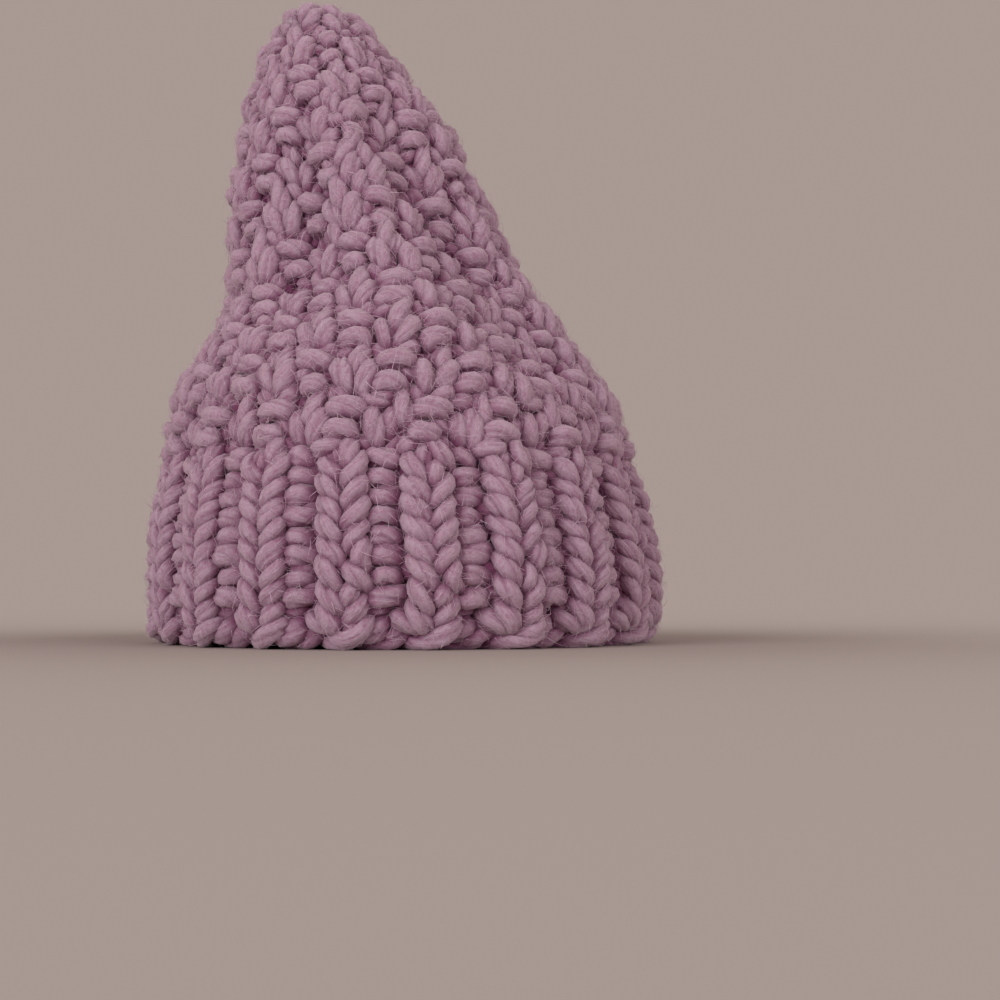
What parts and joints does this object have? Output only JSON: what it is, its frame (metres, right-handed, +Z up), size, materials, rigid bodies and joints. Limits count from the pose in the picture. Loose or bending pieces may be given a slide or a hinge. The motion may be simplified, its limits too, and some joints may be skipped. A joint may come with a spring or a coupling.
{
  "type": "chunky knitted pointed hat",
  "caption": "Tall slouchy hat hand-knitted in thick wool, with a ribbed band, a rope-like cast-on edge and a textured crown that narrows to a blunt leaning tip.",
  "frame": {"origin": "on the surface the hat stands on, below the middle of its outline", "axes": "+Z up along the hat's height, front towards -Y, +X to the right of someone looking at the front; the tip leans towards -X"},
  "size_m": [0.1892, 0.2158, 0.2495],
  "materials": {
    "lilac_wool": "soft, lightly twisted, fuzzy thick wool"
  },
  "bodies": {
    "root": {"cast_on_edge": "lilac_wool", "ribbed_band": "lilac_wool", "crown": "lilac_wool"}
  },
  "joints": []
}
